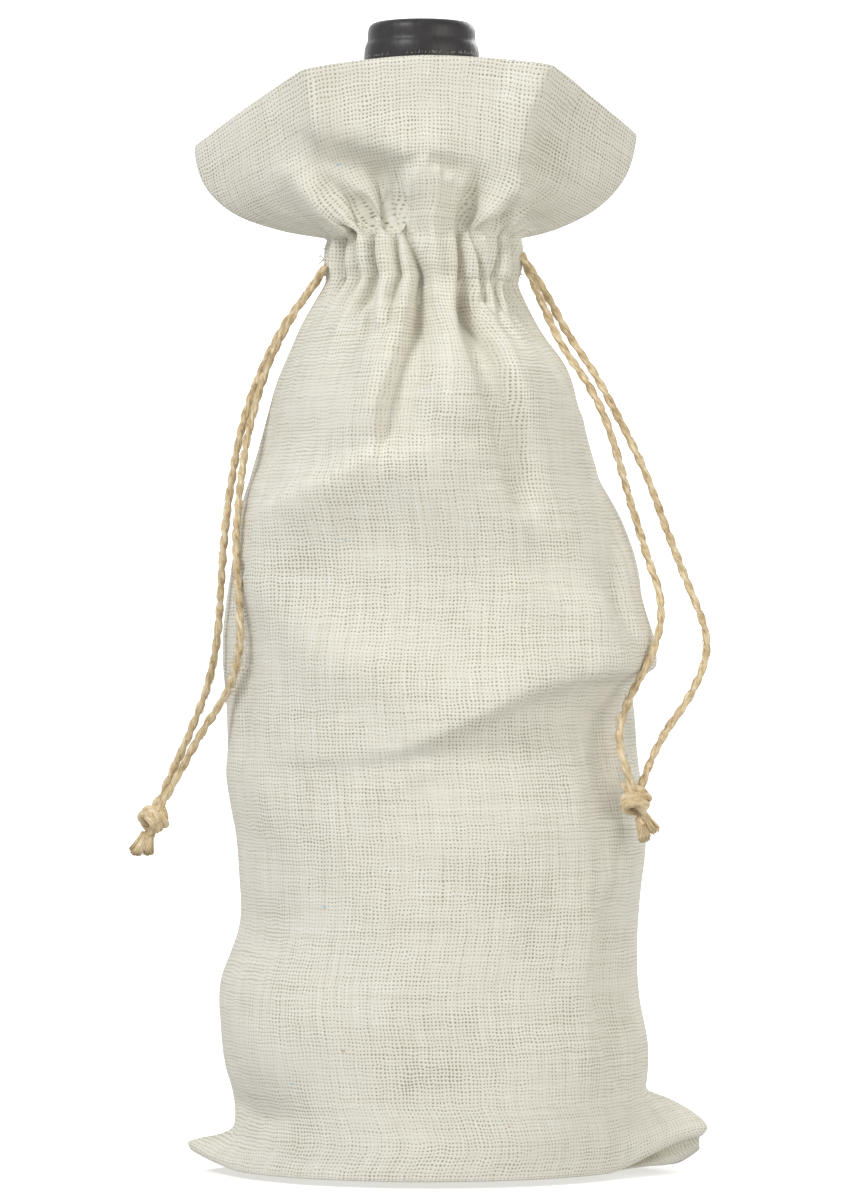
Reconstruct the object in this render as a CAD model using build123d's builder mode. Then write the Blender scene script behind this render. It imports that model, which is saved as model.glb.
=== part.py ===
"""A muslin drawstring wine bag, cinched round the neck of a corked wine bottle.

Millimetres, +Z up. The origin is on the floor, on the axis of the bottle.
The bag is a front and a back panel, folded over at the top into facings that are
stitched down as a casing. Two cords run round the casing, one out of each side seam.
"""
import os
from math import pi, radians, tan

from build123d import *

# Cloth, cord and clearances
cloth = 1.0  # one layer of muslin, with its loft
seam_layers = 1.4  # the two seam allowances, pressed flat
seam_width = 9.0
thread = 0.4
cord_diameter = 2.0
cord_clearance = 0.3  # of a cord in its casing
moving_clearance = 0.3  # between the bottle and the cloth
neck_slack = 0.8  # between the capsule and the cinched facing

# The bottle
bottle_diameter = 75.0
bottle_height = 299.0
shoulder_height = 185.0  # from the bottle's own base
neck_height = 221.0
neck_diameter = 28.2
lip_diameter = 29.6
lip_height = 17.0
bore_diameter = 18.5
glass_wall = 3.0
punt_height = 22.0
cork_length = 44.0
ullage = 19.0  # from the wine to the cork
capsule_foil = 0.4
capsule_length = 58.0

# The bag, as it stands
side_room = 16.5  # between the bottle and the cloth, at the side seams
body_slack = 3.5  # between the bottle and the cloth, front and back
shoulder_room = 5.0  # between the bottle's shoulder and the side seams
casing_low = 233.4
casing_height = 12.4
neck_half_width = 24.5
ruffle_height = 50.0  # from the casing's lower stitching to the top edge
ruffle_half_width = 58.0
ruffle_half_depth = 27.0
ruffle_side_drop = 21.0  # how much lower the top edge is at the side seams
hem_depth = 6.0  # the facing's turned edge, below the casing
corner_height = 14.0  # of the two pointed bottom corners
left_corner_reach = 62.0
right_corner_reach = 75.0
corner_half_depth = 12.0
corner_tip = 2.0

casing_high = casing_low + casing_height
bag_top = casing_low + ruffle_height + 7.6
cord_room = cord_diameter + 2 * cord_clearance
body_half_width = bottle_diameter / 2 + side_room
body_half_depth = bottle_diameter / 2 + body_slack
shoulder_half_width = bottle_diameter / 2 + shoulder_room
bottle_floor = cloth + seam_layers + moving_clearance
neck_half_depth = lip_diameter / 2 + neck_slack + 2 * cloth + cord_room
slope_width = body_half_width - neck_half_width
slope_depth = body_half_depth - neck_half_depth

# The cloth's outside: height, centre, half width and half depth of each level
corner_level = 12.0
slope_drop = casing_low - bottle_floor - shoulder_height  # from the casing to the shoulder
outside = [
    (0.0, 4.0, body_half_width - 2.0, body_half_depth - 1.0),
    (corner_level, 4.0, body_half_width, body_half_depth),
    (0.24 * shoulder_height, 3.5, body_half_width + 3.0, body_half_depth),
    (0.43 * shoulder_height, 4.0, body_half_width + 0.5, body_half_depth),
    (0.61 * shoulder_height, 3.5, body_half_width, body_half_depth),
    (0.77 * shoulder_height, 3.0, body_half_width + 1.0, body_half_depth),
    (0.87 * shoulder_height, 3.0, body_half_width - 1.5, body_half_depth),
    (0.97 * shoulder_height, 1.5, shoulder_half_width + 4.5, body_half_depth),
    (casing_low - 0.84 * slope_drop, 0.5, shoulder_half_width, body_half_depth),
    (
        casing_low - 0.48 * slope_drop,
        1.0,
        neck_half_width + 0.46 * slope_width,
        neck_half_depth + 0.82 * slope_depth,
    ),
    (
        casing_low - 0.25 * slope_drop,
        0.0,
        neck_half_width + 0.24 * slope_width,
        neck_half_depth + 0.46 * slope_depth,
    ),
    (casing_low, 0.5, neck_half_width, neck_half_depth),
    (casing_high, 0.5, neck_half_width, neck_half_depth),
    (casing_high + 10.0, -1.5, ruffle_half_width - 9.0, ruffle_half_depth - 3.0),
    (casing_high + 24.0, -1.5, ruffle_half_width, ruffle_half_depth),
    (bag_top + 5.0, -1.5, ruffle_half_width, ruffle_half_depth),
]

os.makedirs("parts", exist_ok=True)


def save(piece, name):
    """Label a finished piece and write it under its own name."""
    piece.part.label = name
    export_step(piece.part, f"parts/{name}.step")


def level(height):
    """Centre, half width and half depth of the cloth's outside at one height."""
    for lower, upper in zip(outside, outside[1:]):
        if lower[0] <= height <= upper[0]:
            share = (height - lower[0]) / (upper[0] - lower[0])
            return [a + share * (b - a) for a, b in zip(lower[1:], upper[1:])]
    raise ValueError("the height is outside the bag")


def filled(inset, low, high):
    """A solid of the bag's outside drawn in by inset, between two heights."""
    heights = [low] + [row[0] for row in outside if low < row[0] < high] + [high]
    with BuildPart() as form:
        for height in heights:
            centre, half_width, half_depth = level(height)
            with BuildSketch(Plane.XY.offset(height)):
                with Locations((centre, 0)):
                    Ellipse(half_width - inset, half_depth - inset)
        loft(ruled=True)
    return form.part


def band(outer, inner, low, high):
    """A closed layer of the bag between two insets and two heights."""
    with BuildPart() as layer:
        add(filled(outer, low, high))
        add(filled(inner, low, high), mode=Mode.SUBTRACT)
    return layer.part


def corner(root, tip_x):
    """One pointed bottom corner of the bag, where the side meets the bottom seam."""
    with BuildPart() as ear:
        with BuildSketch(Plane.YZ.offset(root)):
            with Locations((0, corner_height / 2)):
                Rectangle(2 * corner_half_depth, corner_height)
        with BuildSketch(Plane.YZ.offset(tip_x)):
            with Locations((0, corner_height / 2 - 1.0)):
                Rectangle(2 * corner_tip, 2 * corner_tip)
        loft(ruled=True)
    return ear.part


# What the arched top edge leaves off, across the whole bag
with BuildPart() as above_edge:
    with BuildSketch(Plane.XZ):
        with BuildLine():
            side = ruffle_half_width + 12.0
            left_edge = (-side, bag_top - ruffle_side_drop - 4.0)
            right_edge = (side, bag_top - ruffle_side_drop - 4.0)
            ThreePointArc(left_edge, (0, bag_top), right_edge)
            Polyline(right_edge, (side, bag_top + 20), (-side, bag_top + 20), left_edge)
        make_face()
    extrude(amount=2 * ruffle_half_depth, both=True)

with BuildPart() as cloth_body:
    add(filled(0, 0, bag_top + 2))
    add(corner(-body_half_width + 8.0, -left_corner_reach))
    add(corner(body_half_width - 4.0, right_corner_reach))
    add(filled(cloth, cloth, bag_top + 2), mode=Mode.SUBTRACT)
    add(above_edge.part, mode=Mode.SUBTRACT)

# The slits in the side seams that the cords leave by
slit_height = casing_height - 2 * cloth
slit_depth = 2 * (2 * cord_diameter)
with BuildPart() as slits:
    with Locations((0, 0, casing_low + casing_height / 2)):
        Box(2 * neck_half_width + 8.0, slit_depth, slit_height)

with BuildPart() as front_panel:
    add(cloth_body.part)
    add(slits.part, mode=Mode.SUBTRACT)
    split(bisect_by=Plane.XZ, keep=Keep.TOP)
save(front_panel, "front_panel")

with BuildPart() as back_panel:
    add(cloth_body.part)
    add(slits.part, mode=Mode.SUBTRACT)
    split(bisect_by=Plane.XZ, keep=Keep.BOTTOM)
save(back_panel, "back_panel")

# The facings: the folded-in top of each panel, stepped in round the cords' casing
hem_low = casing_low - hem_depth
pocket_inset = cloth + cord_room
with BuildPart() as facing:
    add(band(cloth, 2 * cloth, hem_low, bag_top + 2))
    add(band(cloth, pocket_inset + cloth, casing_low, casing_high))
    add(
        band(cloth, pocket_inset, casing_low + cloth, casing_high - cloth),
        mode=Mode.SUBTRACT,
    )
    add(above_edge.part, mode=Mode.SUBTRACT)

for name, side_kept in (("front_facing", Keep.TOP), ("back_facing", Keep.BOTTOM)):
    with BuildPart() as half_facing:
        add(facing.part)
        split(bisect_by=Plane.XZ, keep=side_kept)
    save(half_facing, name)

# Seam allowances inside the bag: up each side, and across the bottom
seam_top = hem_low - 1.0
for name, side in (("left_side_seam", -1), ("right_side_seam", 1)):
    with BuildPart() as side_seam:
        add(band(cloth, cloth + seam_layers, corner_height, seam_top))
        with Locations((side * body_half_width, 0, bag_top / 2)):
            Box(2 * body_half_width, seam_width, bag_top, mode=Mode.INTERSECT)
    save(side_seam, name)

with BuildPart() as bottom_seam:
    with Locations((level(cloth)[0], 0, cloth + seam_layers / 2)):
        Box(2 * (body_half_width - 8.0), seam_width, seam_layers)
save(bottom_seam, "bottom_seam")

# Rows of stitching that close the casing
for name, height in (
    ("casing_lower_stitching", casing_low + 0.8),
    ("casing_upper_stitching", casing_high - 0.8),
):
    with BuildPart() as stitching:
        add(band(-thread, 0, height - thread / 2, height + thread / 2))
    save(stitching, name)

# Each cord goes once round the neck in the casing, and out of its own side
ring_inset = cloth + cord_room / 2
ring_gap = 10.0  # degrees left open each side of the slit
ring_centre = level(casing_low)[0]
left_cord_level = casing_low + 0.32 * casing_height
right_cord_level = casing_low + 0.68 * casing_height
for name, height, start in (
    ("left_cord_in_casing", left_cord_level, 180),
    ("right_cord_in_casing", right_cord_level, 0),
):
    with BuildPart() as ring:
        with BuildLine() as loop:
            arc = EllipticalCenterArc(
                (ring_centre, 0),
                neck_half_width - ring_inset,
                neck_half_depth - ring_inset,
                start_angle=start + ring_gap,
                arc_size=360 - 2 * ring_gap,
            )
        with BuildSketch(Plane(origin=loop.line @ 0, z_dir=loop.line % 0)):
            Circle(cord_diameter / 2)
        sweep(path=loop.line)
    ring.part.move(Location((0, 0, height)))
    save(ring, name)

# The bottle: hollow glass, wine, cork and foil capsule
bottle_radius = bottle_diameter / 2
neck_radius = neck_diameter / 2 - capsule_foil
lip_radius = lip_diameter / 2 - capsule_foil
bore_radius = bore_diameter / 2
bottle_top = bottle_floor + bottle_height
shoulder_level = bottle_floor + shoulder_height
neck_level = bottle_floor + neck_height
lip_level = bottle_top - lip_height
heel = 4.0  # rounding of the bottle's base
throat_level = neck_level + glass_wall
inner_radius = bottle_radius - glass_wall
inner_floor = bottle_floor + 2 * glass_wall
shoulder_sag = (bottle_radius - neck_radius) * 0.19

with BuildPart() as glass_outside:
    with BuildSketch(Plane.XZ):
        with BuildLine():
            Polyline((0, bottle_top), (0, bottle_floor), (bottle_radius - heel, bottle_floor))
            RadiusArc(
                (bottle_radius - heel, bottle_floor),
                (bottle_radius, bottle_floor + heel),
                -heel,
            )
            Line((bottle_radius, bottle_floor + heel), (bottle_radius, shoulder_level))
            Spline(
                (bottle_radius, shoulder_level),
                ((bottle_radius + neck_radius) / 2 + shoulder_sag,
                 (shoulder_level + neck_level) / 2 + shoulder_sag * 0.4),
                (neck_radius, neck_level),
                tangents=((0, 1), (0, 1)),
            )
            Polyline(
                (neck_radius, neck_level),
                (neck_radius, lip_level),
                (lip_radius, lip_level + 1.0),
                (lip_radius, bottle_top - 5.0),
                (neck_radius, bottle_top - 4.5),
                (neck_radius, bottle_top - 1.0),
                (neck_radius - 1.0, bottle_top),
                (0, bottle_top),
            )
        make_face()
    revolve(axis=Axis.Z)

with BuildPart() as hollow:
    with BuildSketch(Plane.XZ):
        with BuildLine():
            punt_top = inner_floor + punt_height
            Line((0, bottle_top), (0, punt_top))
            Spline(
                (0, punt_top),
                (inner_radius * 0.45, inner_floor + punt_height * 0.55),
                (inner_radius - heel, inner_floor),
                tangents=((1, 0), (1, -0.2)),
            )
            Line((inner_radius - heel, inner_floor), (inner_radius, inner_floor + heel))
            Line((inner_radius, inner_floor + heel), (inner_radius, shoulder_level))
            Spline(
                (inner_radius, shoulder_level),
                ((inner_radius + bore_radius) / 2 + shoulder_sag,
                 (shoulder_level + throat_level) / 2),
                (bore_radius, throat_level),
                tangents=((0, 1), (0, 1)),
            )
            Polyline((bore_radius, throat_level), (bore_radius, bottle_top), (0, bottle_top))
        make_face()
    revolve(axis=Axis.Z)

with BuildPart() as punt:
    with BuildSketch(Plane.XZ):
        with BuildLine():
            Line((0, bottle_floor), (0, bottle_floor + punt_height))
            Spline(
                (0, bottle_floor + punt_height),
                (inner_radius * 0.42, bottle_floor + punt_height * 0.5),
                (inner_radius * 0.78, bottle_floor),
                tangents=((1, 0), (1, -1)),
            )
            Line((inner_radius * 0.78, bottle_floor), (0, bottle_floor))
        make_face()
    revolve(axis=Axis.Z)

with BuildPart() as bottle_glass:
    add(glass_outside.part)
    add(hollow.part, mode=Mode.SUBTRACT)
    add(punt.part, mode=Mode.SUBTRACT)
save(bottle_glass, "bottle_glass")

with BuildPart() as wine:
    add(hollow.part)
    split(bisect_by=Plane.XY.offset(bottle_top - cork_length - ullage), keep=Keep.BOTTOM)
save(wine, "wine")

with BuildPart() as cork:
    with BuildSketch(Plane.XY.offset(bottle_top - cork_length)):
        Circle(bore_radius)
    extrude(amount=cork_length)
save(cork, "cork")

capsule_low = bottle_top - capsule_length
with BuildPart() as capsule:
    with BuildSketch(Plane.XZ):
        with BuildLine():
            outer_neck = neck_radius + capsule_foil
            outer_lip = lip_radius + capsule_foil
            top = bottle_top + capsule_foil
            Polyline(
                (0, capsule_low),
                (outer_neck, capsule_low),
                (outer_neck, lip_level),
                (outer_lip, lip_level + 1.0),
                (outer_lip, bottle_top - 5.0 + capsule_foil),
                (outer_neck, bottle_top - 4.5 + capsule_foil),
                (outer_neck, top - 1.4),
                (outer_neck - 1.4, top),
                (0, top),
                close=True,
            )
        make_face()
    revolve(axis=Axis.Z)
    add(glass_outside.part, mode=Mode.SUBTRACT)
    add(cork.part, mode=Mode.SUBTRACT)
save(capsule, "capsule")

# The drawcords' tails: two strands from each slit, knotted together
left_front_route = [
    (-25.2, -2.6, 237.6),
    (-29.5, -2.2, 231.5),
    (-35.2, -1.4, 223.0),
    (-41.0, -1.6, 211.0),
    (-45.6, -4.5, 195.0),
    (-48.0, -10.5, 177.0),
    (-48.6, -17.0, 161.5),
    (-47.2, -21.6, 148.5),
    (-46.9, -21.2, 136.5),
    (-50.6, -15.6, 125.0),
    (-58.2, -8.0, 114.5),
    (-65.0, -6.6, 101.5),
    (-70.7, -6.4, 91.8),
]
left_back_route = [
    (-25.2, 2.6, 237.6),
    (-29.9, 2.0, 231.0),
    (-36.0, 1.6, 223.2),
    (-42.6, 1.6, 210.5),
    (-47.8, -1.6, 195.0),
    (-50.6, -7.6, 177.0),
    (-52.2, -12.0, 161.0),
    (-52.6, -13.2, 147.0),
    (-54.2, -10.4, 134.0),
    (-57.2, -6.4, 123.5),
    (-62.2, -4.2, 112.0),
    (-67.8, -3.8, 99.5),
    (-70.7, -4.0, 91.8),
]
right_back_route = [
    (26.2, 2.6, 241.0),
    (31.6, 2.2, 233.5),
    (38.2, 1.0, 220.5),
    (46.4, -0.6, 208.5),
    (53.2, -1.2, 195.5),
    (60.2, -1.6, 181.0),
    (65.6, -2.4, 165.0),
    (71.6, -3.6, 150.5),
    (76.0, -5.6, 138.5),
    (72.0, -9.4, 126.5),
    (63.6, -14.6, 115.5),
    (58.4, -19.6, 105.5),
    (55.6, -22.8, 97.1),
]
right_front_route = [
    (26.2, -2.6, 241.0),
    (30.2, -3.6, 231.5),
    (36.4, -2.8, 217.0),
    (44.6, -3.4, 206.0),
    (50.2, -4.2, 193.0),
    (54.2, -6.0, 177.5),
    (58.8, -8.0, 162.5),
    (63.6, -10.8, 148.0),
    (60.6, -15.4, 135.5),
    (54.0, -21.4, 125.0),
    (50.4, -25.4, 114.0),
    (53.4, -26.6, 104.5),
    (55.6, -25.2, 97.1),
]
knot_half_width = 3.6
knot_half_height = 4.6
end_length = 9.0
end_diameter = 4.6


def arc_radii(route):
    """The arc at each corner of a route: as large as its two runs allow."""
    points = [Vector(*point) for point in route]
    radii = []
    for before, here, after in zip(points, points[1:], points[2:]):
        run_in = here - before
        run_out = after - here
        half_turn = radians(run_in.get_angle(run_out) / 2)
        shorter = min(run_in.length, run_out.length)
        radii.append(0.45 * shorter / tan(half_turn))
    return radii


def strand(route, knot_solid):
    """A cord laid along a route, stopping at the knot."""
    radii = arc_radii(route)
    with BuildPart() as tube:
        with BuildLine() as path:
            FilletPolyline(*route, radius=radii)
        with BuildSketch(Plane(origin=path.line @ 0, z_dir=path.line % 0)):
            Circle(cord_diameter / 2)
        sweep(path=path.line)
        whole = tube.part.volume / (pi * (cord_diameter / 2) ** 2)
        add(knot_solid, mode=Mode.SUBTRACT)
    print(f"  length {path.wires()[0].length:.1f}, by volume {whole:.1f}")
    print("  radii", " ".join(f"{radius:.0f}" for radius in radii))
    return tube


def knot_at(place):
    """A tied knot: a waisted lump, drawn tight round both strands."""
    with BuildPart() as lump:
        with BuildSketch(Plane.XZ):
            with BuildLine():
                Line((0, -knot_half_height), (0, knot_half_height))
                Spline(
                    (0, knot_half_height),
                    (0.92 * knot_half_width, 0.5 * knot_half_height),
                    (0.9 * knot_half_width, 0),
                    (knot_half_width, -0.45 * knot_half_height),
                    (0, -knot_half_height),
                )
            make_face()
        revolve(axis=Axis.Z)
    lump.part.move(Location(place))
    return lump


def frayed_end(place, lean, knot_solid):
    """The two cut ends below a knot, unlaid and spreading."""
    with BuildPart() as tassel:
        with BuildSketch(Plane(origin=place, z_dir=lean).offset(1.0)):
            Circle(cord_diameter / 2)
        with BuildSketch(Plane(origin=place, z_dir=lean).offset(knot_half_height + end_length)):
            Circle(end_diameter / 2)
        loft()
        add(knot_solid, mode=Mode.SUBTRACT)
        tassel.part = tassel.part.solids().sort_by(Axis.Z)[0]
    return tassel


for side, front_route, back_route, lean in (
    ("left", left_front_route, left_back_route, (-0.35, 0, -1)),
    ("right", right_front_route, right_back_route, (0.42, 0, -1)),
):
    knot_place = (Vector(*front_route[-1]) + Vector(*back_route[-1])) / 2
    knot = knot_at(knot_place)
    for name, route in (("front", front_route), ("back", back_route)):
        print(side, name, "strand")
        save(strand(route, knot.part), f"{side}_{name}_strand")
    save(knot, f"{side}_knot")
    save(frayed_end(knot_place, lean, knot.part), f"{side}_frayed_end")
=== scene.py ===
"""Muslin drawstring wine bag, tied round a corked bottle. Lengths are in metres.

The cloth is a sculpted surface: round the bottle it is smooth, with its folds laid on one by one,
then it is pleated in the casing and fanned out in the ruffle.
"""
import math
from functools import partial

import bpy
import numpy as np
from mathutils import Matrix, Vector, noise


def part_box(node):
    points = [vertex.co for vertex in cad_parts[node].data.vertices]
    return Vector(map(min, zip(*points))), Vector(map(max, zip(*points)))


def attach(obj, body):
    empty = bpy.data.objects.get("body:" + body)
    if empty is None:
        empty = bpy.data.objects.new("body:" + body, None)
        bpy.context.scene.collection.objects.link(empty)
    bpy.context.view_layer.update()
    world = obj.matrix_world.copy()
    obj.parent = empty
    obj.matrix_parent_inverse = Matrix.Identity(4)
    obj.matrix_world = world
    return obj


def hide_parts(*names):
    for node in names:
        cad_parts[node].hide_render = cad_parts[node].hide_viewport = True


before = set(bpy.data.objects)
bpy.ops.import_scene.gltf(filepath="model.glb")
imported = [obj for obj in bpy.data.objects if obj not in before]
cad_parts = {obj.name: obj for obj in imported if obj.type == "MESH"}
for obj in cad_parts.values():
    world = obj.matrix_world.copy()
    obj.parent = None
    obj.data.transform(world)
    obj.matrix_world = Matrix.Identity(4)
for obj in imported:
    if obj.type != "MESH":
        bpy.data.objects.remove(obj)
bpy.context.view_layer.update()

MM = 0.001

# Sizes that the cloth and the cords share
FLAT_WIDTH = 0.152  # each panel, between its side seams
FACING_DEPTH = 0.066  # turned in at the mouth, down past the casing
FACING_GAP = 0.0009  # between the ruffle's two layers
SLACK = 1.035  # flat cloth between the heel and the casing, over the height it spans
RUFFLE_RUN = 0.047  # flat cloth from the casing to the mouth's edge
HEEL_RUN = 0.039  # flat cloth from the bottom seam to the heel
CASING_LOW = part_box("casing_lower_stitching")[0].z
CASING_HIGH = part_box("casing_upper_stitching")[1].z
COLUMNS = 288  # of the cloth's grid, round the bag
ROW = 0.0019  # about the height of one row of the grid
FLOOR_GAP = 0.6  # millimetres from the floor to the base


# Curves through given points

def through(points):
    """A smooth function through a few (place, value) points."""
    places = np.array([p for p, _ in points], float)
    values = np.array([v for _, v in points], float)
    slopes = np.gradient(values, places)

    def value_at(place):
        place = np.clip(place, places[0], places[-1])
        i = np.clip(np.searchsorted(places, place) - 1, 0, len(places) - 2)
        span = places[i + 1] - places[i]
        t = (place - places[i]) / span
        start = (1 + 2 * t) * (1 - t) ** 2 * values[i] + t * (1 - t) ** 2 * span * slopes[i]
        end = t * t * (3 - 2 * t) * values[i + 1] + t * t * (t - 1) * span * slopes[i + 1]
        return start + end

    return value_at


def ease(t):
    """From 0 to 1, level at both ends."""
    t = np.clip(t, 0, 1)
    return t * t * (3 - 2 * t)


# The outline of the standing bag, in millimetres: height, then place
left_side = through([
    (0, -52), (14, -49), (32, -52.5), (48, -53.5), (64, -48.5), (80, -48), (98, -50),
    (124, -52), (140, -52.5), (152, -51), (172, -48), (195, -42), (211, -37), (222, -32),
    (234, -24),
])
right_side = through([
    (0, 56), (20, 59), (32, 60), (45, 58), (66, 57.5), (85, 59), (114, 57), (130, 56),
    (142, 58), (158, 57.5), (169, 54), (182, 47), (193, 43), (211, 39), (222, 31), (234, 25),
])
half_depth = through([
    (0, 40), (20, 41), (100, 40.5), (150, 41), (185, 43), (197, 43), (211, 39.5),
    (222, 32.0), (234, 22.3),
])
# The two pinched bottom corners' own outlines, by height
LEFT_EAR_HEIGHT = 10.0
RIGHT_EAR_HEIGHT = 20.0
left_ear = through([(0, -60), (2, -62.5), (4, -61), (6, -57.5), (8, -54), (10, -51)])
right_ear = through([
    (0, 73), (2, 75), (5, 75.8), (8, 74), (11, 71.5), (14, 68.5), (17, 65), (20, 60),
])
BOTTLE_LIFT = 6.4
BOTTLE_PROFILE = [
    (3, 34.2), (5, 37.2), (7, 37.5), (190, 37.5), (196, 36.95), (200, 36), (204, 34.1),
    (208, 30.7), (212, 23.2), (216, 16.9), (220, 15.2), (302, 15.2),
]

# Gaps between the casing's pleats: the angle from the left seam through the front at the
# casing's lower and upper edges, the depth in millimetres, how far the fold runs below,
# how far its foot drifts sideways in degrees, and how far it runs up the ruffle
PLEATS = [
    (14, 16, 3.0, 14, 0, 8), (27, 25, 4.4, 12, -4, 12), (42, 40, 3.8, 12, -4, 9),
    (57.5, 54, 4.6, 22, -6, 12), (75, 71, 4.2, 12, -3, 7), (89, 78, 4.4, 40, -12, 9),
    (117, 116, 4.6, 60, 7, 12), (131, 124, 4.0, 14, 5, 4), (141, 144, 4.2, 20, 8, 8),
    (154, 155, 4.4, 16, 10, 12), (168, 167, 3.6, 16, 0, 8), (192, 193, 4.0, 20, 0, 9),
    (208, 206, 4.6, 30, 4, 14), (229, 231, 4.6, 24, 5, 9), (248, 247, 4.4, 48, 8, 12),
    (271, 268, 4.4, 26, 0, 10), (291, 292, 4.4, 56, -8, 14), (311, 309, 4.6, 26, -5, 9),
    (330, 331, 4.6, 30, -4, 12), (348, 346, 3.8, 18, 0, 8),
]
CASING_HALF_DEPTH = 22.3
CASING_LEFT, CASING_RIGHT = -24, 25
GAP_WIDTH = 1.9  # degrees, from a gap's middle to where its wall is well up
PUFF = 1.4  # how unevenly the pleats stand out


def pleat_depth(angle, drop=0.0, level=0.0, climb=0.0):
    """How far the pleats draw the cloth in, in millimetres: drop is millimetres below the
    casing, level is from 0 to 1 up the casing, and climb is millimetres above it."""
    depth = np.zeros_like(angle)
    for low, high, deep, run, drift, up in PLEATS:
        share = drop / run
        fade = math.exp(-share) * math.exp(-((climb / up) ** 2))
        width = GAP_WIDTH * (1 + 2.6 * share + 1.5 * climb / up)
        middle = low + (high - low) * level + drift * min(share, 1.5)
        off = np.abs((angle - middle + 180) % 360 - 180) / width
        depth += 1.13 * deep * fade * np.exp(-(off ** (1.15 + min(share, 0.85))))
    return depth


def puff(angle, seed, amount):
    """Uneven pleats: some stand out further than others."""
    turn = np.radians(angle)
    spread = np.zeros_like(turn)
    for wave, size, phase in ((5, 0.5, 1.3), (9, 0.45, 4.1), (14, 0.5, 2.2), (23, 0.35, 0.6)):
        spread += size * np.sin(wave * turn + phase * (1 + seed))
    return spread * amount


def bottle_radius(height):
    """The bottle's outside with its capsule on, in millimetres, by height, at rest or lifted."""
    places, radii = zip(*BOTTLE_PROFILE)
    at_rest = np.interp(height, places, radii)
    return np.maximum(at_rest, np.interp(height - BOTTLE_LIFT, places, radii))


def run_along(path):
    """How far along a path each of its points is."""
    return np.concatenate([[0], np.cumsum(np.linalg.norm(np.diff(path, axis=0), axis=1))])


def places_at(path, run, want):
    """The places on a path that are as far along it as is wanted."""
    return np.stack([np.interp(want, run, path[:, k]) for k in range(3)], axis=1)


def halves(points):
    """A closed outline from the left seam, cut there and half way through its points."""
    half = len(points) // 2
    return points[: half + 1], np.vstack([points[half:], points[:1]])


def evenly(points):
    """A closed outline as COLUMNS points, evenly spaced along it from seam to seam."""
    out = []
    for part in halves(points):
        run = run_along(part)
        want = np.linspace(0, run[-1], COLUMNS // 2, endpoint=False)
        out.append(places_at(part, run, want))
    return np.vstack(out)


ANGLES = np.linspace(0, 360, 7200, endpoint=False)


def oval(left, right, depth, drawn_in=None):
    """An ellipse from the left seam round the front, in millimetres, drawn in by pleats."""
    turn = np.radians(ANGLES)
    centre, half = (left + right) / 2, (right - left) / 2
    x, y = -half * np.cos(turn), -depth * np.sin(turn)
    if drawn_in is not None:
        size = np.hypot(x, y)
        x, y = x * (1 - drawn_in / size), y * (1 - drawn_in / size)
    return np.stack([x + centre, y, np.zeros_like(x)], axis=1)


def pinched(level):
    """The outline near the floor: round the bottle, with the two corners drawn out to tips."""
    points = oval(left_side(level), right_side(level), half_depth(level))
    turn = np.radians(ANGLES)
    pull = np.clip(np.cos(turn), 0, 1) ** 16 * ease((LEFT_EAR_HEIGHT - level) / 3)
    points[:, 0] += pull * np.minimum(left_ear(level) - points[:, 0], 0)
    points[:, 1] *= 1 - pull * 0.7
    pull = np.clip(-np.cos(turn), 0, 1) ** 22 * ease((RIGHT_EAR_HEIGHT - level) / 2.5)
    points[:, 0] += pull * np.maximum(right_ear(level) - points[:, 0], 0)
    points[:, 1] *= 1 - pull * 0.7
    return points


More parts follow.
